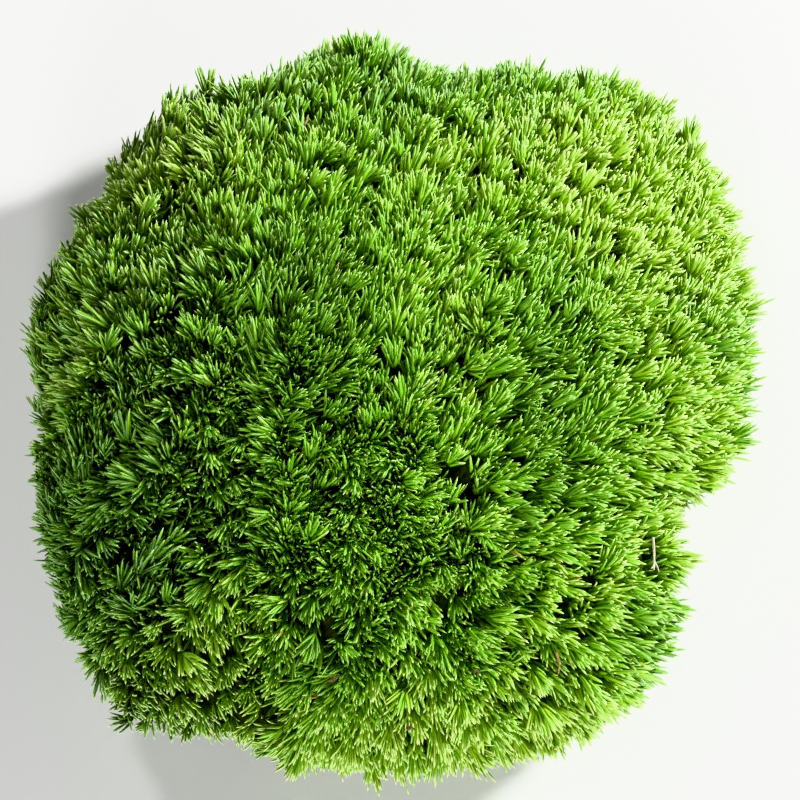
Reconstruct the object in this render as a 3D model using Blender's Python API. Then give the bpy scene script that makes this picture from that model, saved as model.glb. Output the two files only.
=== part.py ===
"""Moss clump: a domed cushion of moss on its root mat, with dry bits caught among the tufts.

Metres, +Z up. The origin lies on the ground under the middle of the clump, and -Y is its front.
"""

import math

import bmesh
import bpy
import numpy as np
from mathutils import Vector, noise
from mathutils.bvhtree import BVHTree

COLLECTION_NAME = "moss_clump"
SEED = 7
GAP = 0.0003

# The cushion seen from above: how far it reaches from its middle, every 15 degrees from +X round by +Y.
EDGE_REACH = (
    0.1150, 0.1180, 0.1245, 0.1260, 0.1130, 0.1020, 0.1040, 0.0970,
    0.0975, 0.0920, 0.0880, 0.0870, 0.0890, 0.0885, 0.0970, 0.1070,
    0.1170, 0.1145, 0.1150, 0.1185, 0.1230, 0.1215, 0.1075, 0.1110,
)
# Notches where the lobes of the cushion meet: bearing, depth and half width.
NOTCHES = (
    (math.radians(72), 0.0050, math.radians(5.0)),
    (math.radians(233), 0.0030, math.radians(4.0)),
    (math.radians(255), 0.0035, math.radians(3.5)),
    (math.radians(332), 0.0055, math.radians(5.0)),
)
EDGE_STEP = 2 * math.pi / len(EDGE_REACH)

# The dome: levels above the ground, and how its section curves above and below its widest level.
WIDEST_LEVEL = 0.022
CROWN_RISE = 0.043
UNDERSIDE_DROP = 0.040
CUT_LEVEL = 0.0053
CROWN_ROUNDNESS = 1.85
SHOULDER_ROUNDNESS = 1.85
UNDERSIDE_ROUNDNESS = 2.2
CROWN_SKEW = 0.0035
NOTCH_FADE = 1.5

# Soft swellings of the surface, from shoots that grew at different rates.
SWELL_HEIGHT = 0.0035
SWELL_LENGTH = 0.042

# Tufts: one peak for each bunch of shoots, with a hollow between every three.
SPHERE_STEPS = 5
TUFT_WANDER = 0.011
TUFT_DEPTH = 0.0046
TUFT_UNEVEN = 0.0011
TUFT_MOST_UNEVEN = 0.0022
UPRIGHTNESS = 0.35
LOWEST_TIP = 0.0015
LOWEST_HOLLOW = 0.0004

# Root mat: old stems, rootlets and soil, cut off flat where the moss grew on the ground.
MAT_INSET = 0.965
MAT_SEGMENTS = 72
MAT_LUMP = 0.0022
MAT_LUMP_LENGTH = 0.013
MAT_ROUNDING = 0.0016
MAT_CUTS = 2

# Dry bits caught in the moss: where they lie from the middle, and which way they point.
STALK_PLACE = (0.0782, -0.0618)
STALK_BEARING = math.radians(-91)
STALK_LENGTH = 0.0088
STALK_RADIUS = 0.00038
STALK_BOW = 0.0003
STALK_TIP = 0.55
TWIG_SHARE = 0.7
STALK_FORKS = ((0.75, 0.0030, math.radians(38)), (0.75, 0.0024, math.radians(-30)))
NEEDLE_PLACE = (0.0523, -0.0920)
NEEDLE_BEARING = math.radians(-84)
NEEDLE_LENGTH = 0.0052
NEEDLE_RADIUS = 0.00036
NEEDLE_BOW = 0.0005
CRUMBS = (
    ("leaf_crumb_front", (-0.0019, -0.0958), (0.0036, 0.0012, 0.0008), math.radians(34)),
    ("leaf_crumb_edge", (0.0163, -0.1060), (0.0023, 0.0014, 0.0009), math.radians(75)),
    ("leaf_crumb_middle", (0.0010, -0.0541), (0.0027, 0.0009, 0.0007), math.radians(105)),
    ("leaf_crumb_right", (0.0328, -0.0942), (0.0020, 0.0011, 0.0007), math.radians(-20)),
    ("leaf_crumb_back", (-0.0382, 0.0402), (0.0019, 0.0011, 0.0007), math.radians(10)),
)
# The tufts lie lower round the stalk, in a small gap.
PARTED_RADIUS = 0.0050
PARTED_DEPTH = 0.0040
CRUMB_UNEVEN = 0.22
LINE_STEPS = 8
TUBE_RESOLUTION = 1
WELD = 0.00001

# How the slope under a dry bit is felt: spots round it, and how far out they are.
SLOPE_SPOTS = 8
SLOPE_REACH = 0.005
CONTACT_SHARES = (0.0, 0.25, 0.5, 0.75, 1.0)

# Colours, linear RGB, and roughness.
MOSS_GREEN = (0.095, 0.235, 0.018)
MOSS_ROUGHNESS = 0.55
MAT_BROWN = (0.070, 0.042, 0.020)
MAT_ROUGHNESS = 0.95
STRAW = (0.52, 0.42, 0.22)
RUSSET = (0.30, 0.13, 0.04)
DRY_ROUGHNESS = 0.7

# How finely the dome's section is stepped when its area is shared out.
SECTION_STEPS = 720


def clear_scene():
    for obj in list(bpy.data.objects):
        bpy.data.objects.remove(obj)


def make_collection(name):
    collection = bpy.data.collections.new(name)
    bpy.context.scene.collection.children.link(collection)
    return collection


def make_material(name, colour, roughness):
    material = bpy.data.materials.new(name)
    material.use_nodes = True
    shader = material.node_tree.nodes["Principled BSDF"]
    shader.inputs["Base Color"].default_value = (*colour, 1.0)
    shader.inputs["Roughness"].default_value = roughness
    shader.inputs["Metallic"].default_value = 0.0
    material.diffuse_color = (*colour, 1.0)
    return material


def add_object(name, bm, material, collection):
    mesh = bpy.data.meshes.new(name)
    bm.to_mesh(mesh)
    bm.free()
    mesh.materials.append(material)
    obj = bpy.data.objects.new(name, mesh)
    collection.objects.link(obj)
    return obj


def edge_reach(bearing):
    """The cushion's reach at these bearings: a smooth closed curve through EDGE_REACH, with its notches."""
    reach = np.array(EDGE_REACH)
    place = (bearing % (2 * math.pi)) / EDGE_STEP
    first = np.floor(place).astype(int) % len(reach)
    part = place - np.floor(place)
    before, start, end, after = (reach[(first + step) % len(reach)] for step in (-1, 0, 1, 2))
    slope = (end - before) * part
    bend = (2 * before - 5 * start + 4 * end - after) * part**2
    twist = (3 * start - before - 3 * end + after) * part**3
    smooth = 0.5 * (2 * start + slope + bend + twist)
    for middle, depth, half_width in NOTCHES:
        aside = (bearing - middle + math.pi) % (2 * math.pi) - math.pi
        smooth = smooth - depth * np.exp(-((aside / half_width) ** 2))
    return smooth


def section(polar):
    """The dome's section: spread from 0 to 1, and level from -1 to 1, at these angles from the top."""
    above = polar <= math.pi / 2
    spread_power = np.where(above, 2 / CROWN_ROUNDNESS, 2 / UNDERSIDE_ROUNDNESS)
    level_power = np.where(above, 2 / SHOULDER_ROUNDNESS, 2 / UNDERSIDE_ROUNDNESS)
    spread = np.clip(np.sin(polar), 0, 1) ** spread_power
    level = np.sign(np.cos(polar)) * np.abs(np.cos(polar)) ** level_power
    return spread, level


def cushion_surface(bearing, polar):
    """Points of the cushion's outer form, through the tips of the tufts, before its swellings."""
    spread, level = section(polar)
    mean_reach = sum(EDGE_REACH) / len(EDGE_REACH)
    reach = mean_reach + (edge_reach(bearing) - mean_reach) * spread**NOTCH_FADE
    x = reach * spread * np.cos(bearing)
    y = reach * spread * np.sin(bearing)
    skewed_rise = (CROWN_RISE - CROWN_SKEW * x / mean_reach * 2) * level
    z = WIDEST_LEVEL + np.where(level > 0, skewed_rise, UNDERSIDE_DROP * level)
    return np.stack([x, y, z], axis=-1)


def even_polar(sphere_polar):
    """Angles on the dome that share its area evenly: a sphere's upper half covers all above the cut."""
    mean_reach = sum(EDGE_REACH) / len(EDGE_REACH)
    polar = np.linspace(0, math.pi, SECTION_STEPS)
    spread, level = section(polar)
    radius = mean_reach * spread
    height = np.where(level > 0, CROWN_RISE, UNDERSIDE_DROP) * level
    band = np.hypot(np.diff(radius), np.diff(height)) * (radius[1:] + radius[:-1])
    area = np.concatenate([[0], np.cumsum(band)])
    cut_depth = (CUT_LEVEL - WIDEST_LEVEL) / UNDERSIDE_DROP
    cut_polar = math.pi - math.acos(abs(cut_depth) ** (UNDERSIDE_ROUNDNESS / 2))
    area_above = np.interp(cut_polar, polar, area)
    upper = 1 - np.cos(sphere_polar)
    shared = np.where(upper < 1, upper * area_above, area_above + (upper - 1) * (area[-1] - area_above))
    return np.interp(shared, area, polar)


def swell(point):
    return SWELL_HEIGHT * noise.noise(Vector(point) / SWELL_LENGTH)


def parted(point):
    """How much lower the tufts lie, in the gap round the stalk."""
    aside = math.hypot(point.x - STALK_PLACE[0], point.y - STALK_PLACE[1])
    return PARTED_DEPTH * math.exp(-((aside / PARTED_RADIUS) ** 2))


def tuft_tips(directions, rng):
    """Where the tip of each tuft is, for the points of a unit sphere."""
    wander = rng.normal(size=directions.shape) * TUFT_WANDER
    directions = directions + wander
    directions /= np.linalg.norm(directions, axis=1, keepdims=True)
    bearing = np.arctan2(directions[:, 1], directions[:, 0])
    polar = even_polar(np.arccos(np.clip(directions[:, 2], -1, 1)))
    return cushion_surface(bearing, polar)


def shoot_direction(point, normal):
    """Shoots grow more upright than the surface faces, but flat outwards where the cushion is cut off."""
    lift = min(max((point.z - CUT_LEVEL) / (WIDEST_LEVEL - CUT_LEVEL), 0), 1)
    return Vector((normal.x, normal.y, (normal.z + UPRIGHTNESS) * lift)).normalized()


def cut_flat(bm, tips):
    """Leaves out the tufts below the cut, and closes the cushion there with one flat face."""
    low_tips = [vert for vert in tips if vert.co.z < CUT_LEVEL + LOWEST_TIP]
    low_faces = {face for tip in low_tips for face in tip.link_faces}
    bmesh.ops.delete(bm, geom=list(low_faces), context="FACES")
    rim = {vert for vert in bm.verts if vert.is_boundary}
    along_cut = [edge for edge in bm.edges if not edge.is_boundary and rim.issuperset(edge.verts)]
    bmesh.ops.subdivide_edges(bm, edges=along_cut, cuts=1)
    for vert in bm.verts:
        if vert.is_boundary:
            vert.co.z = CUT_LEVEL
        else:
            vert.co.z = max(vert.co.z, CUT_LEVEL + LOWEST_HOLLOW)
    bmesh.ops.holes_fill(bm, edges=[edge for edge in bm.edges if edge.is_boundary], sides=0)
    bmesh.ops.triangulate(bm, faces=bm.faces[:])
    bmesh.ops.recalc_face_normals(bm, faces=bm.faces[:])


def tuft_net():
    """A closed net of small six-sided fans round a unit sphere: (mesh, tips, hollows)."""
    bm = bmesh.new()
    bmesh.ops.create_icosphere(bm, subdivisions=SPHERE_STEPS, radius=1.0)
    tips = bm.verts[:]
    between_tips = bm.edges[:]
    hollows = bmesh.ops.poke(bm, faces=bm.faces[:])["verts"]
    bmesh.ops.rotate_edges(bm, edges=between_tips, use_ccw=False)
    return bm, tips, hollows


def build_moss_cushion(material, collection):
    """The cushion: a tuft at each point of an even net, and hollows between them."""
    rng = np.random.default_rng(SEED)
    bm, tips, hollows = tuft_net()
    directions = np.array([vert.co for vert in tips])
    uneven = np.clip(rng.normal(size=len(tips)) * TUFT_UNEVEN, -TUFT_MOST_UNEVEN, TUFT_MOST_UNEVEN)
    for vert, place in zip(tips, tuft_tips(directions, rng)):
        vert.co = place
    tip_set = set(tips)
    for vert in hollows:
        near = [edge.other_vert(vert).co for edge in vert.link_edges if edge.other_vert(vert) in tip_set]
        vert.co = sum(near, Vector()) / len(near)
    bm.normal_update()
    for vert in hollows:
        vert.co += vert.normal * swell(vert.co)
        if vert.co.z > CUT_LEVEL:
            vert.co -= shoot_direction(vert.co, vert.normal) * TUFT_DEPTH
    for vert, up in zip(tips, uneven):
        vert.co += vert.normal * (swell(vert.co) + up - parted(vert.co))
    cut_flat(bm, tips)
    return add_object("moss_cushion", bm, material, collection)


def build_root_mat(material, collection):
    """The mat: a short cylinder whose rings follow the cushion's cut edge a little inside it, with lumps."""
    cut_polar = even_polar(np.array([math.pi / 2]))
    depth = CUT_LEVEL - GAP
    bm = bmesh.new()
    bmesh.ops.create_cone(
        bm, cap_ends=True, cap_tris=False, segments=MAT_SEGMENTS, radius1=1.0, radius2=1.0, depth=depth
    )
    upright = [edge for edge in bm.edges if abs(edge.verts[0].co.z - edge.verts[1].co.z) > GAP]
    bmesh.ops.subdivide_edges(bm, edges=upright, cuts=MAT_CUTS)
    for vert in bm.verts:
        level = vert.co.z + depth / 2
        bearing = math.atan2(vert.co.y, vert.co.x)
        edge = cushion_surface(np.array([bearing]), cut_polar)[0]
        lump = MAT_LUMP * noise.noise(Vector((edge[0], edge[1], level)) / MAT_LUMP_LENGTH)
        rounding = MAT_ROUNDING * (2 * level / depth - 1) ** 2
        scale = MAT_INSET - (rounding - lump) / math.hypot(edge[0], edge[1])
        vert.co = (edge[0] * scale, edge[1] * scale, level)
    bmesh.ops.triangulate(bm, faces=bm.faces[:])
    return add_object("root_mat", bm, material, collection)


def closed_tube(name, points, radii, collection):
    """A tapering round piece through these points, as one closed mesh."""
    curve = bpy.data.curves.new(name, "CURVE")
    curve.dimensions = "3D"
    curve.bevel_depth = 1.0
    curve.bevel_resolution = TUBE_RESOLUTION
    curve.use_fill_caps = True
    spline = curve.splines.new("POLY")
    spline.points.add(len(points) - 1)
    for knot, point, radius in zip(spline.points, points, radii):
        knot.co = (*point, 1.0)
        knot.radius = radius
    guide = bpy.data.objects.new(name + "_guide", curve)
    collection.objects.link(guide)
    bpy.context.view_layer.update()
    mesh = bpy.data.meshes.new_from_object(guide.evaluated_get(bpy.context.evaluated_depsgraph_get()))
    bpy.data.objects.remove(guide)
    bm = bmesh.new()
    bm.from_mesh(mesh)
    bmesh.ops.remove_doubles(bm, verts=bm.verts[:], dist=WELD)
    bm.to_mesh(mesh)
    bm.free()
    obj = bpy.data.objects.new(name, mesh)
    collection.objects.link(obj)
    return obj


def bowed_line(start, bearing, length, bow):
    """Points along a thin piece that lies in its own plane and bows to one side."""
    along = Vector((math.cos(bearing), math.sin(bearing), 0))
    aside = Vector((-along.y, along.x, 0))
    points = []
    for step in range(LINE_STEPS + 1):
        share = step / LINE_STEPS
        points.append(start + along * length * share + aside * bow * math.sin(math.pi * share))
    return points


def tapered(radius, tip_share):
    return [radius * (1 - (1 - tip_share) * (step / LINE_STEPS) ** 2) for step in range(LINE_STEPS + 1)]


def joined(trunk, twig):
    """Joins a twig to the piece that it grows from."""
    union = trunk.modifiers.new("twig", "BOOLEAN")
    union.operation = "UNION"
    union.object = twig
    bpy.context.view_layer.update()
    mesh = bpy.data.meshes.new_from_object(trunk.evaluated_get(bpy.context.evaluated_depsgraph_get()))
    trunk.modifiers.remove(union)
    trunk.data = mesh
    bpy.data.objects.remove(twig)


def lay_on(obj, cushion_tree, place, bearing):
    """Lays a dry bit, modelled flat about its own origin, on the tufts that carry it."""
    ground = Vector((place[0], place[1], 0))
    up = Vector((0, 0, 1))
    hit, facing, _, _ = cushion_tree.ray_cast(ground + up, -up)
    spots = [facing]
    for step in range(SLOPE_SPOTS):
        turn = 2 * math.pi * step / SLOPE_SPOTS
        aside = Vector((math.cos(turn), math.sin(turn), 0)) * SLOPE_REACH
        spots.append(cushion_tree.ray_cast(ground + aside + up, -up)[0])
    rim = spots[1:]
    slope = sum(((rim[i - 1] - hit).cross(rim[i] - hit) for i in range(len(rim))), Vector())
    normal = slope.normalized()
    forward = Vector((math.cos(bearing), math.sin(bearing), 0))
    side = normal.cross(forward).normalized()
    forward = side.cross(normal)
    turn = [forward, side, normal]
    height = 0.0
    for vert in obj.data.vertices:
        for share in CONTACT_SHARES:
            spot = hit + forward * vert.co.x * share + side * vert.co.y * share
            surface = cushion_tree.ray_cast(spot + normal * SLOPE_REACH, -normal)[0]
            height = max(height, (surface - hit).dot(normal) - vert.co.z)
    base = hit + normal * (height + GAP)
    for vert in obj.data.vertices:
        vert.co = base + sum((axis * part for axis, part in zip(turn, vert.co)), Vector())


def build_dry_stalk(material, collection, cushion_tree):
    """A pale stalk with two side twigs."""
    start = Vector((-STALK_LENGTH / 2, 0, 0))
    line = bowed_line(start, 0, STALK_LENGTH, STALK_BOW)
    stalk = closed_tube("dry_stalk", line, tapered(STALK_RADIUS, STALK_TIP), collection)
    for share, length, bearing in STALK_FORKS:
        fork = line[round(share * LINE_STEPS)]
        twig_line = bowed_line(fork, bearing, length, STALK_BOW)
        twig = closed_tube("twig", twig_line, tapered(STALK_RADIUS * TWIG_SHARE, STALK_TIP), collection)
        joined(stalk, twig)
    stalk.data.materials.clear()
    stalk.data.materials.append(material)
    lay_on(stalk, cushion_tree, STALK_PLACE, STALK_BEARING)


def build_dry_needle(material, collection, cushion_tree):
    start = Vector((-NEEDLE_LENGTH / 2, 0, 0))
    line = bowed_line(start, 0, NEEDLE_LENGTH, NEEDLE_BOW)
    needle = closed_tube("dry_needle", line, tapered(NEEDLE_RADIUS, STALK_TIP), collection)
    needle.data.materials.append(material)
    lay_on(needle, cushion_tree, NEEDLE_PLACE, NEEDLE_BEARING)


def build_leaf_crumb(name, place, size, bearing, material, collection, cushion_tree):
    """A crumb of dead leaf: a flattened, uneven ball."""
    rng = np.random.default_rng(SEED + len(name))
    bm = bmesh.new()
    bmesh.ops.create_icosphere(bm, subdivisions=2, radius=0.5)
    for vert in bm.verts:
        uneven = 1 + CRUMB_UNEVEN * rng.uniform(-1, 1)
        vert.co = [part * side * uneven for part, side in zip(vert.co, size)]
    crumb = add_object(name, bm, material, collection)
    lay_on(crumb, cushion_tree, place, bearing)


def centre_on_origin(objects):
    """Moves the pieces together until the middle of their plan is over the origin."""
    corners = np.array([vert.co for obj in objects for vert in obj.data.vertices])
    middle = (corners.max(axis=0) + corners.min(axis=0)) / 2
    shift = Vector((middle[0], middle[1], 0))
    for obj in objects:
        for vert in obj.data.vertices:
            vert.co -= shift


def main():
    clear_scene()
    collection = make_collection(COLLECTION_NAME)
    moss = make_material("moss", MOSS_GREEN, MOSS_ROUGHNESS)
    mat = make_material("root_mat", MAT_BROWN, MAT_ROUGHNESS)
    straw = make_material("dry_straw", STRAW, DRY_ROUGHNESS)
    russet = make_material("dead_leaf", RUSSET, DRY_ROUGHNESS)
    cushion = build_moss_cushion(moss, collection)
    build_root_mat(mat, collection)
    vertices = [vert.co for vert in cushion.data.vertices]
    cushion_tree = BVHTree.FromPolygons(vertices, [face.vertices for face in cushion.data.polygons])
    build_dry_stalk(straw, collection, cushion_tree)
    build_dry_needle(straw, collection, cushion_tree)
    for name, place, size, bearing in CRUMBS:
        build_leaf_crumb(name, place, size, bearing, russet, collection, cushion_tree)
    centre_on_origin(collection.objects)


main()
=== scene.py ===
"""Moss clump: leafy shoots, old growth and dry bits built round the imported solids.

Metres, +Z up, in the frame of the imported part. -Y is the front of the clump, and a place on it is
given as x and y from its middle.
"""

import math
from typing import NamedTuple

import bmesh
import bpy
import numpy as np
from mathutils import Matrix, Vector
from mathutils.kdtree import KDTree


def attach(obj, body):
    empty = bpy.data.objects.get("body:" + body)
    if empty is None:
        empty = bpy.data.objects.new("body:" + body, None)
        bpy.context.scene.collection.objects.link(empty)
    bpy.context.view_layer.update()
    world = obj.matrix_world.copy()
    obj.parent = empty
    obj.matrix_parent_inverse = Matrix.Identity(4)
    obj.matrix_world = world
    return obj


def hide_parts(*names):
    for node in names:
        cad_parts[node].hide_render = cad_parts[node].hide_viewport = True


bl_info = {
    "name": "Moss clump",
    "version": (1, 0, 0),
    "blender": (4, 5, 0),
    "location": "View3D > Sidebar > Moss",
    "description": "Dresses the moss clump with leafy shoots, old growth and dry bits",
    "category": "Object",
}

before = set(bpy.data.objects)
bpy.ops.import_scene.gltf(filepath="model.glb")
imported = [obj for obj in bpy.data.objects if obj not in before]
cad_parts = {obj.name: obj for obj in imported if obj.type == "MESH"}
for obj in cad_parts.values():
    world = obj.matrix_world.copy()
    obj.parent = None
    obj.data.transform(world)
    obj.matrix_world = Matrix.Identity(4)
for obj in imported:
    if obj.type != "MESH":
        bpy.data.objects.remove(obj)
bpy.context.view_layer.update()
CUSHION = "moss_cushion"
ROOT_MAT = "root_mat"

# How the cushion's tips and hollows are told apart, and how its slope is smoothed.
WELD = 0.00001
SMOOTH_STEPS = 8
TIP_PROMINENCE = 0.001
RIM_MARGIN = 0.0001

# How deep the old growth lies under the tips of the cushion and under the rest of it, and how low
# it reaches.
OLD_TIP_DEPTH = 0.0070
OLD_DEPTH = 0.0030
OLD_FOOT = 0.0053

# A leaf is a three-sided lance, with these sections from its foot to just short of its tip: how
# far along, and how wide. The corners of a section lie 1 from its middle. UNIT_WIDTH and
# UNIT_DEPTH make it 1 wide and 1 deep, and HALF_SIDE is half its width before that.
LEAF_SIDES = 3
LEAF_SECTIONS = ((0.0, 0.62), (0.42, 1.0), (0.88, 0.62))
UNIT_WIDTH = 0.577
UNIT_DEPTH = 0.667
HALF_SIDE = 0.866
# No leaf reaches lower than this.
GROUND_CLEARANCE = 0.0004
# How far the leaves keep from the dry bits that lie among them.
BIT_CLEARANCE = {"dry_stalk": 0.0034, "dry_needle": 0.0022, "leaf_crumb": 0.0007}

# How the shoots lie. They are combed away from a parting on the left half, more so further off,
# and lean that way. A smooth wander, strongest at the parting, joins in. On the front they droop,
# the sooner the larger FRONT_SLOPE, and on steep ground they rise.
PARTING = ((-0.0840, -0.0570), (-0.0439, -0.0341), (-0.0050, -0.0547))
COMB_REACH = 0.028
SHOOT_LEAN = 0.30
DRIFT_NEAR = 0.75
DRIFT_FAR = 0.28
DRIFT_WAVES = 9
DRIFT_LENGTHS = (0.016, 0.045)
DRIFT_SEED = 5
FRONT_DROOP = 0.45
FRONT_SLOPE = 1.5
RIM_RISE = 0.25
# How high a normal points where the ground counts as level, and where the shoots of the left
# side stand fully upright.
LEVEL = 0.8
LEFT_LEVEL = 0.6
# A shoot that points as high as this needs a level helper to find the directions square to it.
NEARLY_UPRIGHT = 0.9

# The left side begins at LEFT_START and has its full effect LEFT_FADE further out. Its shoots are
# less combed, more upright, older and sparser; their older, darker leaves are partly real age and
# partly painted shade on the side away from the main lamp, and their frosted tips are partly
# painted highlight. Those on its wall are swept and shortened too.
LEFT_START = -0.020
LEFT_FADE = 0.040
LEFT_CALM = 0.40
LEFT_UPRIGHT = 0.50
LEFT_RISE = 0.45
LEFT_AGE_AND_SHADE = 0.70
LEFT_WALL_AGE_AND_SHADE = 0.55
LEFT_WALL_THIN = 0.25
LEFT_WALL_SHORTEN = 0.20
LEFT_WALL_SWEEP = (0.0, 0.55, 0.45)
LEFT_THIN = 0.20

# Small shoots between the tufts stand off the hollows, less so in the sun and on the left, and
# look older in the sun.
SIDE_SIZE = 0.85
SIDE_LIFT = 0.0034
SIDE_SINK = 0.60
LEFT_SIDE_SINK = 0.45
SIDE_AGE = 0.40
LEFT_SIDE_THIN = 0.55
# Fillers are small, more upright shoots. They grow on slopes, and wherever the combing is weaker
# than FILLER_COMBED or the shoots part faster than FILLER_OPENING.
FILLER_LEAVES = 8
FILLER_SWEEP = 0.35
FILLER_COMBED = 0.45
FILLER_OPENING = 24.0
LEFT_FILLER_THIN = 0.70
# A spot is bare, and gets one more filler, when no leaf comes within BARE_GAP of BARE_HEIGHT
# above it.
BARE_HEIGHT = 0.0045
BARE_GAP = 0.0027

# How low, sunlit and shaded shoots differ: in size, age, tone and number of leaves. The tone of
# sunlit shoots is painted sunlight, and the older, darker leaves of shaded shoots are painted
# shade.
# Shoots are low under LOW_HEIGHT, and more of their leaves are withered; their older, darker leaves
# are partly real age and partly painted shade near the ground.
LOW_HEIGHT = 0.020
LOW_SHORTEN = 0.38
LOW_AGE = 0.35
SHADE_AGE = 0.30
SHADE_THIN = 0.22
SUNNY_THIN = 0.24
FEWEST_LEAVES = 3
TONE_LEAST = 0.24
PAINTED_SUN_TONE = 0.58
TONE_CHANCE = 0.22
TONE_SHADE = 0.35
WITHERED_SHARE = 0.0006
WITHERED_LOW = 0.12

# The leaves of a shoot, from its heart outwards: their turn from the shoot, their length, how
# deep and how far back their feet stand, how they follow the sweep and fan out, and their width.
GOLDEN_ANGLE = math.radians(137.508)
HEART_ANGLE = math.radians(4)
SPREAD_POWER = 0.75
COMBED_GROWTH = 0.12
OUTER_SHORTEN = 0.10
FOOT_DEPTH = 0.86
FOOT_DEPTH_OUTER = 0.10
FOOT_SHIFT = 0.25
HEART_TURN = 0.55
OUTER_TURN = 0.45
MOST_TURN = 1.1
FAN = 0.85
CURVE_AROUND = 0.05
WIDTH_LEAST = 0.8
WIDTH_BY_SIZE = 0.2
WIDTH_SHADED = 0.92
WIDTH_SUNNY = 0.22

# How much chance moves each measure of a shoot, then of a leaf.
SHOOT_SEED = 11
TILT_CHANCE = 0.14
FLOW_CHANCE = 0.20
PLACE_CHANCE = 0.0006
SIZE_CHANCE = 0.13
SIZE_LIMITS = (0.7, 1.3)
BEARING_CHANCE = 0.25
LENGTH_CHANCE = 0.12
ANGLE_CHANCE = math.radians(4)
TURN_CHANCE = 0.10
FAN_CHANCE = 0.12
FAN_CALM = 0.08
END_CHANCE = 0.08
ROLL_CHANCE = 0.35
WIDTH_CHANCE = 0.1
WIDTH_LIMITS = (0.75, 1.25)
HUE_CHANCE = 0.20
AGE_CHANCE = 0.20

# The deep green heart of the clump, where the painted sunlight is least, and how far it reaches.
HEART = (-0.008, -0.042)
HEART_REACH_RIGHT = 0.098
HEART_REACH_LEFT = 0.150
HEART_REACH_BACK = 0.130
HEART_REACH_FRONT = 0.100
# Painted shade over hollows of the clump: where, how far it reaches each way, and how dark it is
# painted, by older, darker and fewer leaves. Less than none is a lighter spot of painted light.
PAINTED_SHADES = (
    ((0.040, -0.018), (0.016, 0.044), 1.35),
    ((-0.020, 0.006), (0.014, 0.028), 1.95),
    ((-0.021, -0.028), (0.012, 0.010), 1.10),
    ((-0.076, -0.056), (0.032, 0.024), 1.60),
    ((-0.040, -0.034), (0.010, 0.014), -0.50),
    ((-0.019, -0.086), (0.012, 0.014), 1.20),
    ((0.010, 0.092), (0.055, 0.022), 2.15),
    ((-0.035, 0.068), (0.016, 0.012), 0.90),
    ((0.071, -0.076), (0.014, 0.015), 1.50),
    ((0.090, 0.006), (0.014, 0.014), 0.90),
    ((-0.056, -0.086), (0.024, 0.016), -0.90),
    ((-0.061, -0.045), (0.012, 0.012), -1.20),
    ((-0.066, 0.054), (0.018, 0.018), -1.10),
    ((0.020, -0.046), (0.010, 0.010), -0.80),
    ((-0.084, -0.012), (0.012, 0.010), -0.50),
    ((0.064, 0.052), (0.020, 0.024), -1.45),
    ((0.048, -0.068), (0.016, 0.014), -0.80),
    ((0.018, 0.002), (0.012, 0.014), -0.70),
    ((0.022, -0.017), (0.008, 0.014), -0.80),
    ((-0.006, 0.062), (0.010, 0.012), 1.20),
    ((0.015, -0.088), (0.030, 0.008), 0.20),
    ((0.010, -0.104), (0.070, 0.010), -0.60),
    ((0.099, -0.006), (0.012, 0.034), 0.65),
    ((-0.098, -0.052), (0.014, 0.020), 0.50),
    ((-0.041, -0.078), (0.012, 0.014), -0.35),
)

# A leaf is mapped to one of these columns: its hue within its age, the oldest being withered. It
# fills its column but for a margin.
HUES = 8
AGES = 8
TONES = HUES * AGES
BELOW_ONE = 0.999
MAP_NAME = "OFBake"
MAP_HALF_WIDTH = 0.42
MAP_FOOT = 0.02
MAP_LENGTH = 0.96

# The clump is split by bearing from its middle, so that no piece grows too heavy.
SECTORS = (
    "shoots_right",
    "shoots_back_right",
    "shoots_back_left",
    "shoots_left",
    "shoots_front_left",
    "shoots_front_right",
)

# Where a leaf's colours lie along it: foot, middle, body, bright body and tip of a young leaf,
# and old foot, foot, middle, body and frosted tip of an old one. The dark feet are partly painted
# shade between the leaves, and the pale tips partly painted highlight.
YOUNG_PLACES = (0.0, 0.25, 0.55, 0.86, 1.0)
AGED_PLACES = (0.0, 0.45, 0.76, 0.92, 1.0)
MIDDLE_BODY = 0.6
BRIGHT_TIP = 0.18
WITHERED_STOPS = (
    (0.0, (0.030, 0.016, 0.006)),
    (0.5, (0.110, 0.065, 0.022)),
    (1.0, (0.260, 0.180, 0.070)),
)
# How a leaf's colour is toned down by its hue, which mixes chance with painted shade and painted
# sunlight: from the shaded hollows over the heart to the sunlit edge.
HUE_STOPS = (
    (0.0, (0.255, 0.37, 0.15)),
    (0.36, (0.395, 0.555, 0.28)),
    (1.0, (0.90, 0.74, 0.72)),
)
# The pale nerve, partly real and partly a painted highlight that grows with hue and age: how it
# fades sideways and grows along the leaf, and how strong it is.
NERVE_FADE = ((0.0, 1.0), (0.55, 0.0))
NERVE_GROWTH = ((0.35, 0.0), (0.80, 0.25))
NERVE_LEAST = 0.25
NERVE_HIGHLIGHT_BY_HUE = 1.5
NERVE_HIGHLIGHT_BY_AGE = 0.7
NERVE_TONE = 0.66
# The painted sunlit end of a young leaf, its gloss from foot to tip, and its brightness; EDGE_SHADE
# is painted shade along a leaf's edges.
PAINTED_SUNLIT_TIP = (0.62, 0.72, 0.34)
SUNLIT_GROWTH = ((0.80, 0.0), (1.0, 0.70))
ROUGHNESS_FADE = ((0.45, 0.62), (0.85, 0.30))
LEAF_LIGHT = 1.45
STREAK_LIGHT = 0.24
EDGE_SHADE = 0.28
# Fine streaks: how close they lie across and along a leaf, and how they change from column to
# column. Streaks and shade make a leaf rougher, and its edges stand above its middle.
STREAKS_ACROSS = 5.0
STREAKS_ALONG = 1.6
STREAKS_APART = 3.7
STREAK_ROUGHNESS = 0.12
SHADED_ROUGHNESS = 0.10
EDGE_RISE = 0.8
# An age above this is that of a withered leaf.
OLDEST_GREEN = 1.05

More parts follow.
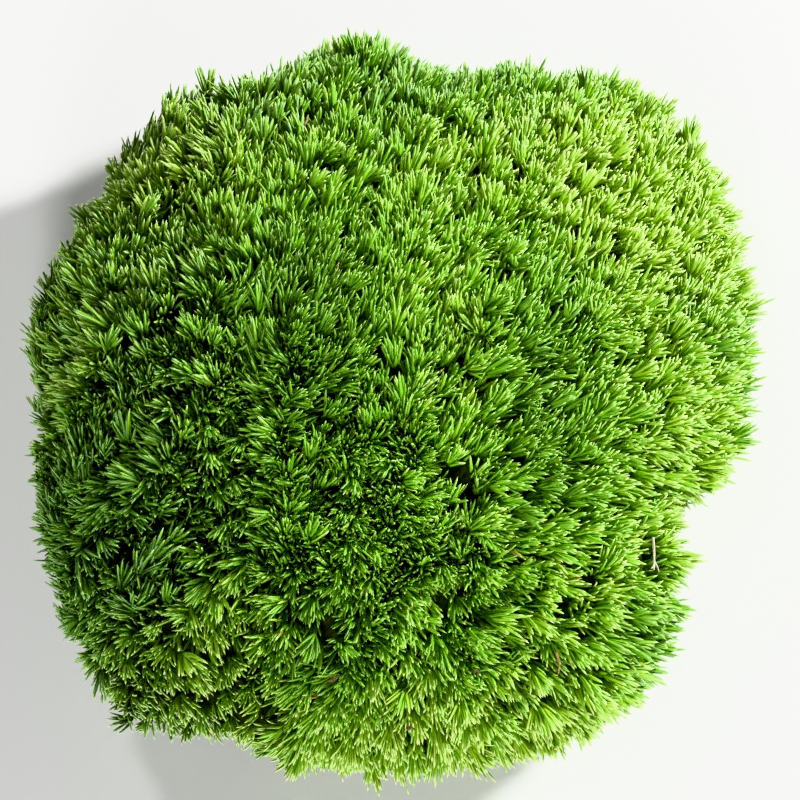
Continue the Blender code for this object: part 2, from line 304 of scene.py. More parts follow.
STALK_STOPS = (
    (0.30, (0.210, 0.175, 0.110)),
    (0.48, (0.500, 0.450, 0.320)),
    (0.70, (0.780, 0.730, 0.580)),
)
NEEDLE_STOPS = (
    (0.30, (0.090, 0.050, 0.018)),
    (0.50, (0.260, 0.160, 0.060)),
    (0.72, (0.480, 0.340, 0.160)),
)
CRUMB_STOPS = (
    (0.30, (0.020, 0.014, 0.006)),
    (0.48, (0.082, 0.066, 0.026)),
    (0.72, (0.240, 0.195, 0.095)),
)
MAT_STOPS = (
    (0.15, (0.090, 0.052, 0.026)),
    (0.38, (0.045, 0.026, 0.014)),
    (0.60, (0.016, 0.010, 0.006)),
    (0.85, (0.007, 0.005, 0.003)),
)
OLD_SHADED_STOPS = (
    (0.38, (0.003, 0.006, 0.001)),
    (0.50, (0.012, 0.022, 0.004)),
    (0.62, (0.042, 0.050, 0.014)),
)
OLD_LIT_STOPS = (
    (0.38, (0.006, 0.014, 0.002)),
    (0.50, (0.026, 0.054, 0.006)),
    (0.62, (0.085, 0.115, 0.022)),
)
# Old growth turns from dark painted shade to green painted light towards the right: how fast, and
# where it starts and ends.
OLD_TURN = 10.0
OLD_TURN_MIDDLE = 0.5
OLD_TURN_STOPS = ((0.3, 0.0), (1.0, 1.0))

# Noise in the materials: its scale, detail, roughness and distortion. MAT_CRUMBS is how close the
# crumbs of the root mat lie.
LEAF_STREAKS = (1.0, 2.0)
OLD_THREADS = (1500.0, 4.0, 0.7, 1.5)
OLD_CLUMPS = (420.0, 4.0, 0.6)
FIBRES = (1.0, 3.0)
GRIT = (3000.0, 3.0, 0.6)
MAT_THREADS = (260.0, 5.0, 0.65, 2.2)
MAT_PATCHES = (45.0, 2.0)
MAT_CRUMBS = 380.0
# How strong the bumps of each material are, and how far they stand out. GRIT_RISE is how high
# grit stands beside the fibres.
LEAF_BUMP = (0.12, 0.0001)
OLD_BUMP = (1.0, 0.0008)
FIBRE_BUMP = (0.5, 0.0002)
MAT_BUMP = (0.8, 0.0006)
GRIT_RISE = 0.4
# How much of each pattern shows in the colour, and how steep the ridges of the root mat are.
THREAD_SHARE = 0.5
FIBRE_SHARE = 0.65
RIDGE_SHARE = 0.45
CRUMB_SHARE = 0.25
PATCH_SHARE = 0.30
RIDGE_STEEPNESS = 4.0
# The least roughness of a material, and how much its pattern adds.
FIBROUS_ROUGHNESS = (0.65, 0.25)
MAT_ROUGHNESS = (0.78, 0.20)
# How close the fibres of each dry bit lie across it and along it.
STALK_FIBRES = (2600.0, 420.0)
NEEDLE_FIBRES = (2400.0, 500.0)
CRUMB_FIBRES = (1800.0, 900.0)

# The lamps: their power in watts, their width and their place.
LAMPS = (
    ("lamp_right", 39.0, 0.18, (0.96, 0.42, 0.43)),
    ("lamp_left", 6.5, 0.12, (-0.62, 0.80, 0.42)),
    ("lamp_front", 14.0, 0.24, (-0.05, -1.0, 0.36)),
)
# How bright the light all round is at each height, from level to straight overhead, and how it
# grows to the right and fades to the back.
FILL_STOPS = ((0.0, 1.0), (0.25, 0.8), (0.6, 0.12), (1.0, 0.05))
FILL_MIDDLE = 0.62
FILL_RIGHT = 0.25
FILL_BACK = 0.12
FLOOR_RADIUS = 1.2
FLOOR_SIDES = 96
# The camera: its lens and sensor in millimetres, and where it looks, how steeply and how far off.
LENS = 75.0
SENSOR = 36.0
CLIP_START = 0.01
VIEW_TARGET = (0.0012, -0.0111, 0.030)
VIEW_RISE = math.radians(65)
VIEW_DISTANCE = 0.45


class ShootSettings(bpy.types.PropertyGroup):
    """Sizes and colours of the green shoots."""

    leaf_length: bpy.props.FloatProperty(
        name="Leaf length",
        description="Length of a full-grown leaf",
        default=0.0088,
        unit="LENGTH",
    )
    leaf_width: bpy.props.FloatProperty(
        name="Leaf width",
        description="Widest part of a leaf",
        default=0.00106,
        unit="LENGTH",
    )
    leaf_thickness: bpy.props.FloatProperty(
        name="Leaf thickness",
        description="From a leaf's face to its keel",
        default=0.00052,
        unit="LENGTH",
    )
    leaves: bpy.props.IntProperty(
        name="Leaves",
        description="Leaves on a full-grown shoot",
        default=25,
    )
    side_leaves: bpy.props.IntProperty(
        name="Side leaves",
        description="Leaves on a small shoot between the tufts",
        default=11,
    )
    spread: bpy.props.FloatProperty(
        name="Spread",
        description="How far the outermost leaves turn from the shoot",
        default=math.radians(24),
        subtype="ANGLE",
    )
    sweep: bpy.props.FloatProperty(
        name="Sweep",
        description="How far the leaves of a shoot curve over to one side",
        default=math.radians(74),
        subtype="ANGLE",
    )
    tip_colour: bpy.props.FloatVectorProperty(
        name="Tip colour",
        description="Young end of a leaf",
        default=(0.55, 0.78, 0.28),
        subtype="COLOR",
        size=3,
    )
    body_colour: bpy.props.FloatVectorProperty(
        name="Body colour",
        description="Middle of a leaf",
        default=(0.20, 0.43, 0.010),
        subtype="COLOR",
        size=3,
    )
    base_colour: bpy.props.FloatVectorProperty(
        name="Base colour",
        description="Shaded foot of a leaf",
        default=(0.055, 0.135, 0.003),
        subtype="COLOR",
        size=3,
    )
    frosted_and_highlight_colour: bpy.props.FloatVectorProperty(
        name="Frosted colour",
        description="Whitish end of an older leaf",
        default=(0.76, 0.90, 0.66),
        subtype="COLOR",
        size=3,
    )
    nerve_and_highlight_colour: bpy.props.FloatVectorProperty(
        name="Nerve colour",
        description="Pale line along the middle of a leaf",
        default=(0.74, 0.90, 0.38),
        subtype="COLOR",
        size=3,
    )
    old_colour: bpy.props.FloatVectorProperty(
        name="Old colour",
        description="Foot of an older leaf",
        default=(0.017, 0.044, 0.002),
        subtype="COLOR",
        size=3,
    )


class StageSettings(bpy.types.PropertyGroup):
    """Floor, light and camera."""

    floor_colour: bpy.props.FloatVectorProperty(
        name="Floor colour",
        description="Plain floor under the clump",
        default=(0.80, 0.80, 0.79),
        subtype="COLOR",
        size=3,
    )
    lamp_strength: bpy.props.FloatProperty(
        name="Lamps",
        description="Strength of the lamps together",
        default=1.0,
    )
    fill_strength: bpy.props.FloatProperty(
        name="Fill light",
        description="Strength of the soft light all round",
        default=0.46,
    )


class Value:
    """A number in a material, which + - * / and ** join with Math nodes."""

    def __init__(self, shader, socket):
        self.shader = shader
        self.socket = socket

    def math(self, operation, first, second=None):
        sockets = {0: first}
        if second is not None:
            sockets[1] = second
        return self.shader.node("ShaderNodeMath", {"operation": operation}, sockets).value(0)

    def __add__(self, other):
        return self.math("ADD", self, other)

    def __radd__(self, other):
        return self.math("ADD", other, self)

    def __sub__(self, other):
        return self.math("SUBTRACT", self, other)

    def __rsub__(self, other):
        return self.math("SUBTRACT", other, self)

    def __mul__(self, other):
        return self.math("MULTIPLY", self, other)

    def __rmul__(self, other):
        return self.math("MULTIPLY", other, self)

    def __truediv__(self, other):
        return self.math("DIVIDE", self, other)

    def __pow__(self, other):
        return self.math("POWER", self, other)

    def absolute(self):
        return self.math("ABSOLUTE", self)

    def floor(self):
        return self.math("FLOOR", self)

    def fraction(self):
        return self.math("FRACT", self)

    def above(self, limit):
        return self.math("GREATER_THAN", self, limit)


class Node:
    """A node whose outputs are taken as values."""

    def __init__(self, shader, node):
        self.shader = shader
        self.node = node

    def value(self, output):
        return Value(self.shader, self.node.outputs[output])


class Shader:
    """A material, or the light all round, that is put together from nodes."""

    def __init__(self, name, store="materials"):
        self.owner = getattr(bpy.data, store).new(name)
        self.owner.use_nodes = True
        self.tree = self.owner.node_tree
        self.tree.nodes.clear()

    def node(self, kind, settings=None, sockets=None):
        node = self.tree.nodes.new(kind)
        for name, setting in (settings or {}).items():
            if name == "stops":
                self.set_stops(node.color_ramp, setting)
            else:
                setattr(node, name, setting)
        for name, value in (sockets or {}).items():
            self.feed(node.inputs[name], value)
        return Node(self, node)

    def feed(self, socket, value):
        if isinstance(value, Value):
            self.tree.links.new(value.socket, socket)
        elif hasattr(value, "__len__") and len(value) == 3 and socket.type == "RGBA":
            socket.default_value = (*value, 1.0)
        else:
            socket.default_value = value

    @staticmethod
    def set_stops(ramp, stops):
        while len(ramp.elements) > 1:
            ramp.elements.remove(ramp.elements[-1])
        for number, (place, colour) in enumerate(stops):
            element = ramp.elements[0] if number == 0 else ramp.elements.new(place)
            element.position = place
            element.color = (*colour, 1.0)

    def ramp(self, factor, stops):
        return self.node("ShaderNodeValToRGB", {"stops": stops}, {"Fac": factor}).value(0)

    def fade(self, factor, stops):
        """A ramp of greys, each stop a place and a tone."""
        return self.ramp(factor, tuple((place, (tone, tone, tone)) for place, tone in stops))

    def mix(self, factor, first, second, blend="MIX"):
        settings = {"data_type": "RGBA", "blend_type": blend}
        sockets = {0: factor, 6: first, 7: second}
        return self.node("ShaderNodeMix", settings, sockets).value(2)

    def noise(self, vector, scale, detail=2.0, roughness=0.5, distortion=0.0):
        sockets = {
            "Vector": vector,
            "Scale": scale,
            "Detail": detail,
            "Roughness": roughness,
            "Distortion": distortion,
        }
        return self.node("ShaderNodeTexNoise", {}, sockets)

    def object_place(self):
        return self.node("ShaderNodeTexCoord").value("Object")

    def combine(self, x, y, z):
        return self.node("ShaderNodeCombineXYZ", {}, {0: x, 1: y, 2: z}).value(0)

    def separate(self, vector):
        node = self.node("ShaderNodeSeparateXYZ", {}, {0: vector})
        return node.value(0), node.value(1), node.value(2)

    def bump(self, height, strength, distance):
        sockets = {"Height": height, "Strength": strength, "Distance": distance}
        return self.node("ShaderNodeBump", {}, sockets).value(0)

    def surface(self, sockets):
        bsdf = self.node("ShaderNodeBsdfPrincipled", {}, sockets)
        self.node("ShaderNodeOutputMaterial", {}, {"Surface": bsdf.value(0)})
        return self.owner


def unit(vectors):
    """Vectors of length one, in rows."""
    lengths = np.linalg.norm(vectors, axis=-1, keepdims=True)
    return vectors / np.maximum(lengths, 1e-9)


def deselect_all():
    """Leave nothing selected, so that the next operator acts on its own piece alone."""
    if bpy.context.object and bpy.context.object.mode != "OBJECT":
        bpy.ops.object.mode_set(mode="OBJECT")
    bpy.ops.object.select_all(action="DESELECT")


class Cushion:
    """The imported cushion's surface: its tips, its hollows and its smoothed slope."""

    def __init__(self):
        mesh = bmesh.new()
        mesh.from_mesh(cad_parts[CUSHION].data)
        bmesh.ops.remove_doubles(mesh, verts=mesh.verts, dist=WELD)
        mesh.verts.ensure_lookup_table()
        self.points = np.array([v.co for v in mesh.verts])
        self.faces = np.array([[v.index for v in f.verts] for f in mesh.faces])
        near = [[e.other_vert(v).index for e in v.link_edges] for v in mesh.verts]
        around = np.array([self.points[n].mean(0) for n in near])
        smooth = self.points.copy()
        for _ in range(SMOOTH_STEPS):
            smooth = (smooth + np.array([smooth[n].mean(0) for n in near])) / 2
        for vertex in mesh.verts:
            vertex.co = smooth[vertex.index]
        mesh.normal_update()
        self.normals = np.array([v.normal for v in mesh.verts])
        mesh.free()
        lowest = self.points[:, 2].min() + RIM_MARGIN
        self.free = self.points[:, 2] > lowest
        stands = ((self.points - around) * self.normals).sum(1)
        self.tips = self.free & (stands > TIP_PROMINENCE)
        self.hollows = self.free & (stands < 0)

    def seats(self):
        """Where shoots grow: on the tips, in the hollows, and where the shoots part."""
        corners = self.points[self.faces]
        middles = corners.mean(1)
        normals = unit(self.normals[self.faces].mean(1))
        combed = shoot_directions(middles, normals)[2]
        apart = corners - middles[:, None, :]
        flow = shoot_directions(self.points, self.normals)[1][self.faces]
        opening = (flow * apart).sum((1, 2)) / (apart**2).sum((1, 2))
        parted = (combed < FILLER_COMBED) | (opening > FILLER_OPENING)
        parted &= self.free[self.faces].all(1)
        slopes = self.free & ~self.tips & ~self.hollows
        return (
            (self.points[self.tips], self.normals[self.tips]),
            (self.points[self.hollows], self.normals[self.hollows]),
            (
                np.concatenate([middles[parted], self.points[slopes]]),
                np.concatenate([normals[parted], self.normals[slopes]]),
            ),
        )

    def bare_spots(self, grown):
        """Where the leaves grown so far leave the cushion bare, down to its lowest ring."""
        points = []
        for _, bend, end, *_ in grown:
            points += [bend, 0.5 * bend + 0.5 * end, end]
        points = np.concatenate(points)
        near = KDTree(len(points))
        for number, point in enumerate(points):
            near.insert(point, number)
        near.balance()
        sides = self.faces[self.free[self.faces].any(1)]
        corners = self.points[sides]
        square = unit(np.cross(corners[:, 1] - corners[:, 0], corners[:, 2] - corners[:, 0]))
        normals = unit(square + unit(self.normals[sides].mean(1)))
        middles = corners.mean(1)
        raised = middles + BARE_HEIGHT * normals
        bare = np.array([near.find(point)[2] > BARE_GAP for point in raised])
        return middles[bare], normals[bare]


def leftness(places):
    """How far each place is into the clump's left side, from none to one."""
    return np.clip((LEFT_START - places[:, 0]) / LEFT_FADE, 0.0, 1.0)


def steepness(normals):
    """How steep the cushion is under each shoot: none where it is level, one on a wall."""
    return 1.0 - np.clip(normals[:, 2] / LEVEL, 0.0, 1.0)


def sunniness(places):
    """How sunlit and yellow the shoots are painted: least at the heart of the clump, most at its
    edge.
    """
    x = places[:, 0] - HEART[0]
    x = x / np.where(x > 0, HEART_REACH_RIGHT, HEART_REACH_LEFT)
    y = places[:, 1] - HEART[1]
    y = y / np.where(y > 0, HEART_REACH_BACK, HEART_REACH_FRONT)
    return np.clip(x**2 + y**2, 0.0, 1.0)


def painted_shading(places):
    """How much painted shade darkens the shoots in the clump's hollows; below none it is painted
    light.
    """
    total = np.zeros(len(places))
    for middle, reach, amount in PAINTED_SHADES:
        apart = (places[:, :2] - np.array(middle)) / np.array(reach)
        total += amount * np.exp(-(apart**2).sum(1))
    return total


def drift(places):
    """A smooth sideways wander over the clump, so that neighbouring shoots lie alike."""
    chance = np.random.default_rng(DRIFT_SEED)
    total = np.zeros((len(places), 2))
    for _ in range(DRIFT_WAVES):
        length = chance.uniform(*DRIFT_LENGTHS)
        bearing = chance.uniform(0.0, 2 * math.pi)
        wave = np.array([math.cos(bearing), math.sin(bearing)]) * 2 * math.pi / length
        phase = chance.uniform(0.0, 2 * math.pi, 2)
        total += np.sin((places[:, :2] @ wave)[:, None] + phase)
    return total * math.sqrt(2.0 / DRIFT_WAVES)


def shoot_directions(places, normals):
    """Where each shoot points, which way its leaves are swept, and how strongly it is combed."""
    line = np.array(PARTING)
    nearest = np.zeros((len(places), 2))
    distance = np.full(len(places), np.inf)
    for start, end in zip(line[:-1], line[1:]):
        step = end - start
        along = np.clip(((places[:, :2] - start) @ step) / (step @ step), 0.0, 1.0)
        spot = start + along[:, None] * step
        gap = np.linalg.norm(places[:, :2] - spot, axis=1)
        nearer = gap < distance
        nearest[nearer] = spot[nearer]
        distance = np.minimum(distance, gap)
    away = (places[:, :2] - nearest) / np.maximum(distance, 1e-6)[:, None]
    left = leftness(places)
    combed = 1.0 - np.exp(-((distance / COMB_REACH) ** 2))
    combed = combed * (1.0 - LEFT_CALM * left)
    wander = DRIFT_FAR + (DRIFT_NEAR - DRIFT_FAR) * (1.0 - combed)
    flow = combed[:, None] * away + wander[:, None] * drift(places)
    front = np.clip(-normals[:, 1:2] * FRONT_SLOPE, 0.0, 1.0)
    flow = np.hstack([flow, -FRONT_DROOP * front])
    steep = steepness(normals)
    flow += (left * steep)[:, None] * np.array(LEFT_WALL_SWEEP)
    outward = normals.copy()
    outward[:, 0] *= 1.0 - LEFT_UPRIGHT * left * np.clip(normals[:, 2] / LEFT_LEVEL, 0.0, 1.0)
    outward[:, 2] += (RIM_RISE + LEFT_RISE * left) * steep
    directions = unit(outward + SHOOT_LEAN * flow)
    return directions, flow, combed


def side_axes(directions):
    """Two directions square to each shoot."""
    helper = np.where(
        np.abs(directions[:, 2:3]) < NEARLY_UPRIGHT,
        np.array([[0.0, 0.0, 1.0]]),
        np.array([[1.0, 0.0, 0.0]]),
    )
    first = unit(np.cross(directions, helper))
    return first, np.cross(directions, first)


class Kind(NamedTuple):
    """A kind of shoot: its number of leaves, and how it differs from one on a tuft's tip."""

    leaves: int
    size: float = 1.0
    lift: float = 0.0
    sunny_age: float = 0.0
    sweep: float = 1.0
    left_thin: float = LEFT_THIN


class Shoot(NamedTuple):
    """One shoot: where it stands and points, and how its leaves lie and look."""

    leaves: int
    tip: np.ndarray
    direction: np.ndarray
    first: np.ndarray
    second: np.ndarray
    size: float
    tone: float
    turn: float
    combed: float
    sweep: np.ndarray
    age: float
    withered: float
    sunny: float


def grow(cushion, settings, chance):
    """The leaves of each kind of shoot, the last kind only where the others leave bare spots."""
    tuft = Kind(settings.leaves)
    side = Kind(settings.side_leaves, SIDE_SIZE, SIDE_LIFT, SIDE_AGE, left_thin=LEFT_SIDE_THIN)
    filler = Kind(FILLER_LEAVES, SIDE_SIZE, sweep=FILLER_SWEEP, left_thin=LEFT_FILLER_THIN)
    patch = Kind(FILLER_LEAVES, SIDE_SIZE, SIDE_LIFT, SIDE_AGE, FILLER_SWEEP)
    grown = []
    for kind, (places, normals) in zip((tuft, side, filler), cushion.seats()):
        grown.append(grow_kind(kind, places, normals, settings, chance))
    places, normals = cushion.bare_spots(grown)
    grown.append(grow_kind(patch, places, normals, settings, chance))
    return grown


def grow_kind(kind, places, normals, settings, chance):
    """The leaves of all shoots of one kind, in columns."""
    sunny = sunniness(places)
    left = leftness(places)
    lifts = kind.lift * (1.0 - SIDE_SINK * sunny) * (1.0 - LEFT_SIDE_SINK * left)
    places = places + lifts[:, None] * normals
    directions, flow, combed = shoot_directions(places, normals)
    directions = unit(directions + chance.normal(0.0, TILT_CHANCE, (len(places), 3)))
    first, second = side_axes(directions)
    flow = flow + chance.normal(0.0, FLOW_CHANCE, flow.shape)
    sweeps = kind.sweep * (flow - (flow * directions).sum(1, keepdims=True) * directions)
    places = places + chance.normal(0.0, PLACE_CHANCE, (len(places), 3))
    sizes = kind.size * np.clip(chance.normal(1.0, SIZE_CHANCE, len(places)), *SIZE_LIMITS)
    tones = chance.random(len(places))
    turns = chance.random(len(places)) * 2 * math.pi
    lowness = np.clip((LOW_HEIGHT - places[:, 2]) / LOW_HEIGHT, 0.0, 1.0)
    steep = steepness(normals)
    sizes = sizes * (1.0 - LOW_SHORTEN * lowness) * (1.0 - LEFT_WALL_SHORTEN * left * steep)
    # Painted shade darkens and thins the shoots in its spots, and painted light brightens them
    # where it is less than none.
    shade = painted_shading(places)
    # Older, darker leaves: partly real age, and partly painted shade on the left, low down and in
    # the painted shade spots.
    ages = (LEFT_AGE_AND_SHADE + LEFT_WALL_AGE_AND_SHADE * steep) * left + LOW_AGE * lowness
    ages = ages + SHADE_AGE * shade + kind.sunny_age * sunny
    tones = TONE_LEAST + PAINTED_SUN_TONE * sunny + TONE_CHANCE * tones - TONE_SHADE * shade
    tones = np.clip(tones, 0.0, 1.0)
    fewer = kind.left_thin * left + SUNNY_THIN * sunny + LEFT_WALL_THIN * left * steep
    fewer = fewer + SHADE_THIN * np.clip(shade, 0.0, 1.0)
    counts = np.maximum(np.round(kind.leaves * (1.0 - fewer)), FEWEST_LEAVES).astype(int)
    withered = WITHERED_SHARE + WITHERED_LOW * lowness**2
    columns = (counts, places, directions, first, second, sizes, tones, turns, combed, sweeps)
    columns += (ages, withered, sunny)
    rows = [grow_shoot(Shoot(*row), settings, chance) for row in zip(*columns)]
    return clear_of_bits([np.concatenate(column) for column in zip(*rows)])


def grow_shoot(shoot, settings, chance):
    """The leaves of one shoot, from the upright ones at its heart to the outermost."""
    count = shoot.leaves
    outward = (np.arange(count) + 0.5) / count
    bearing = shoot.turn + np.arange(count) * GOLDEN_ANGLE + chance.normal(0, BEARING_CHANCE, count)
    around = np.outer(np.cos(bearing), shoot.first) + np.outer(np.sin(bearing), shoot.second)
    reach = settings.leaf_length * shoot.size * (1.0 + COMBED_GROWTH * shoot.combed)
    length = reach * (1.0 - OUTER_SHORTEN * outward)
    length = length * np.clip(chance.normal(1.0, LENGTH_CHANCE, count), *SIZE_LIMITS)
    angle = HEART_ANGLE + settings.spread * outward**SPREAD_POWER
    angle = angle + chance.normal(0.0, ANGLE_CHANCE, count)
    strength = min(float(np.linalg.norm(shoot.sweep)), 1.0)
    swept = unit(shoot.sweep)
    depth = reach * (FOOT_DEPTH + FOOT_DEPTH_OUTER * outward)
    foot = shoot.tip - shoot.direction * depth[:, None]
    foot = foot - swept * (reach * FOOT_SHIFT * strength)
    start = np.cos(angle)[:, None] * shoot.direction + np.sin(angle)[:, None] * around
    turned = (HEART_TURN + OUTER_TURN * outward) * strength
    turned = turned + chance.normal(0.0, TURN_CHANCE, count)
    turned = np.clip(turned, 0.0, MOST_TURN) * settings.sweep
    fan = np.sin(angle)[:, None] * FAN * around
    fan = fan + chance.normal(0.0, FAN_CHANCE - FAN_CALM * shoot.sunny, fan.shape)
    finish = np.cos(turned)[:, None] * shoot.direction + np.sin(turned)[:, None] * swept
    finish = unit(finish + fan)
    half = (length * 0.5)[:, None]
    bend = foot + half * start
    end = bend + half * finish
    side = unit(np.cross(start, finish) + CURVE_AROUND * np.cross(shoot.direction, around))
    end = end + side * (length * chance.normal(0.0, END_CHANCE, count))[:, None]
    roll = chance.normal(0.0, ROLL_CHANCE, count)[:, None]
    side = unit(side * np.cos(roll) + np.cross(side, start) * np.sin(roll))
    width = settings.leaf_width * np.clip(chance.normal(1.0, WIDTH_CHANCE, count), *WIDTH_LIMITS)
    width = width * (WIDTH_LEAST + WIDTH_BY_SIZE * shoot.size)
    width = width * (WIDTH_SHADED + WIDTH_SUNNY * shoot.sunny)
    thickness = settings.leaf_thickness * (width / settings.leaf_width)
    hue = np.clip(shoot.tone + chance.normal(0.0, HUE_CHANCE, count), 0.0, BELOW_ONE)
    age = np.clip(shoot.age + chance.normal(0.0, AGE_CHANCE, count), 0.0, BELOW_ONE)
    age = np.floor(age * (AGES - 1))
    age = np.where(chance.random(count) < shoot.withered, AGES - 1, age)
    column = age * HUES + np.floor(hue * HUES)
    owner = np.repeat(shoot.tip[None, :], count, axis=0)
    return foot, bend, end, side, width, thickness, column, owner


def clear_of_bits(columns):
    """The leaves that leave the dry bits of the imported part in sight."""
    bits = []
    for name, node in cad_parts.items():
        clearance = next((gap for bit, gap in BIT_CLEARANCE.items() if name.startswith(bit)), 0.0)
        if clearance > 0:
            bits += [(node.matrix_world @ v.co, clearance) for v in node.data.vertices]
    near = KDTree(len(bits))
    for number, (point, _) in enumerate(bits):
        near.insert(point, number)
    near.balance()
    foot, bend, end = columns[:3]
    clear = np.ones(len(foot), bool)
    for points in (bend, 0.25 * foot + 0.5 * bend + 0.25 * end, 0.5 * bend + 0.5 * end, end):
        for leaf, point in enumerate(points):
            _, number, gap = near.find(point)
            clear[leaf] &= gap > bits[number][1]
    return [column[clear] for column in columns]


def model_leaf():
    """The points and faces of one leaf along +Z, 1 long: a lance, closed at both ends."""
    deselect_all()
    bpy.ops.mesh.primitive_circle_add(vertices=LEAF_SIDES, radius=1.0, fill_type="NGON")
    leaf = bpy.context.object
    bpy.ops.object.mode_set(mode="EDIT")
    bpy.ops.mesh.select_all(action="SELECT")
    before, width_before = LEAF_SECTIONS[0]
    bpy.ops.transform.resize(value=(width_before, width_before, 1.0))
    for along, width in LEAF_SECTIONS[1:] + ((1.0, 0.0),):
        rise = {"value": (0.0, 0.0, along - before)}
        bpy.ops.mesh.extrude_region_move(TRANSFORM_OT_translate=rise)
        if width > 0:
            scale = width / width_before
            bpy.ops.transform.resize(value=(scale, scale, 1.0))
        else:
            bpy.ops.mesh.merge(type="CENTER")
        before, width_before = along, width
    bpy.ops.mesh.select_all(action="SELECT")
    bpy.ops.mesh.normals_make_consistent(inside=False)
    bpy.ops.mesh.quads_convert_to_tris()
    bpy.ops.object.mode_set(mode="OBJECT")
    mesh = leaf.data
    points = np.array([v.co for v in mesh.vertices])
    faces = np.array([tuple(p.vertices) for p in mesh.polygons])
    bpy.data.objects.remove(leaf)
    bpy.data.meshes.remove(mesh)
    return points, faces


def lay_out(pattern, lines):
    """The points of every leaf: the pattern's points carried along each leaf's line."""
    foot, bend, end, side, width, thickness = lines
    along = pattern[:, 2][None, :, None]
    a = foot[:, None, :]
    b = bend[:, None, :]
    c = end[:, None, :]
    centre = (1 - along) ** 2 * a + 2 * along * (1 - along) * b + along**2 * c
    heading = unit(2 * (1 - along) * (b - a) + 2 * along * (c - b))
    across = side[:, None, :] - (heading * side[:, None, :]).sum(-1, keepdims=True) * heading
    across = unit(across)
    outward = np.cross(heading, across)
    x = pattern[:, 0][None, :, None] * width[:, None, None] * UNIT_WIDTH
    y = pattern[:, 1][None, :, None] * thickness[:, None, None] * UNIT_DEPTH
    points = centre + across * x + outward * y
    points[..., 2] = np.maximum(points[..., 2], GROUND_CLEARANCE)
    return points


def leaf_batch(pattern, faces, lines, column):
    """The points, faces and map places of many leaves of one pattern."""
    points = lay_out(pattern, lines)
    count, size = points.shape[:2]
    starts = (np.arange(count) * size)[:, None, None]
    corners = (faces[None, :, :] + starts).reshape(-1, 3)
    widest = np.interp(pattern[:, 2], *zip(*LEAF_SECTIONS))
    inside = 0.5 + MAP_HALF_WIDTH * pattern[:, 0] / (HALF_SIDE * widest)
    u = (column[:, None] + inside[None, :]) / TONES
    v = np.broadcast_to(MAP_FOOT + MAP_LENGTH * pattern[:, 2], u.shape)
    places = np.stack([u, v], axis=-1).reshape(-1, 2)[corners.reshape(-1)]
    return points.reshape(-1, 3), corners, places


def leaf_piece(name, batches):
    """One mesh of all the leaves, with each leaf mapped to the column of its hue and age."""
    points, corners, places = [], [], []
    total = 0
    for batch in batches:
        points.append(batch[0])
        corners.append(batch[1] + total)
        places.append(batch[2])
        total += len(batch[0])
    piece = mesh_piece(name, np.concatenate(points), np.concatenate(corners))
    piece.data.shade_smooth()
    layer = piece.data.uv_layers.new(name=MAP_NAME)
    layer.data.foreach_set("uv", np.concatenate(places).astype(np.float32).reshape(-1))
    return piece


def mesh_piece(name, points, faces):
    """A piece of the clump from its points and faces."""
    mesh = bpy.data.meshes.new(name)
    mesh.from_pydata(points, [], faces)
    piece = bpy.data.objects.new(name, mesh)
    bpy.context.scene.collection.objects.link(piece)
    return piece


def finish_piece(piece, material):
    """Give a piece its finish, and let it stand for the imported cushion."""
    piece.data.materials.append(material)
    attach(piece, "root")
    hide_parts(CUSHION)


def between(first, second, share):
    """A colour between two, nearer to the second the larger its share."""
    return tuple((1 - share) * a + share * b for a, b in zip(first, second))


def leaf_green(shader, settings, along, age):
    """A leaf's green along its length, turned from young to aged; feet partly painted shade, tips
    partly painted highlight.
    """
    base = tuple(settings.base_colour)
    body = tuple(settings.body_colour)
    tip = tuple(settings.tip_colour)
    old = tuple(settings.old_colour)
    frosted = tuple(settings.frosted_and_highlight_colour)
    middle = between(base, body, MIDDLE_BODY)
    bright = between(body, tip, BRIGHT_TIP)
    young = shader.ramp(along, tuple(zip(YOUNG_PLACES, (base, middle, body, bright, tip))))
    aged = shader.ramp(along, tuple(zip(AGED_PLACES, (old, base, middle, body, frosted))))
    return shader.mix(age, young, aged)


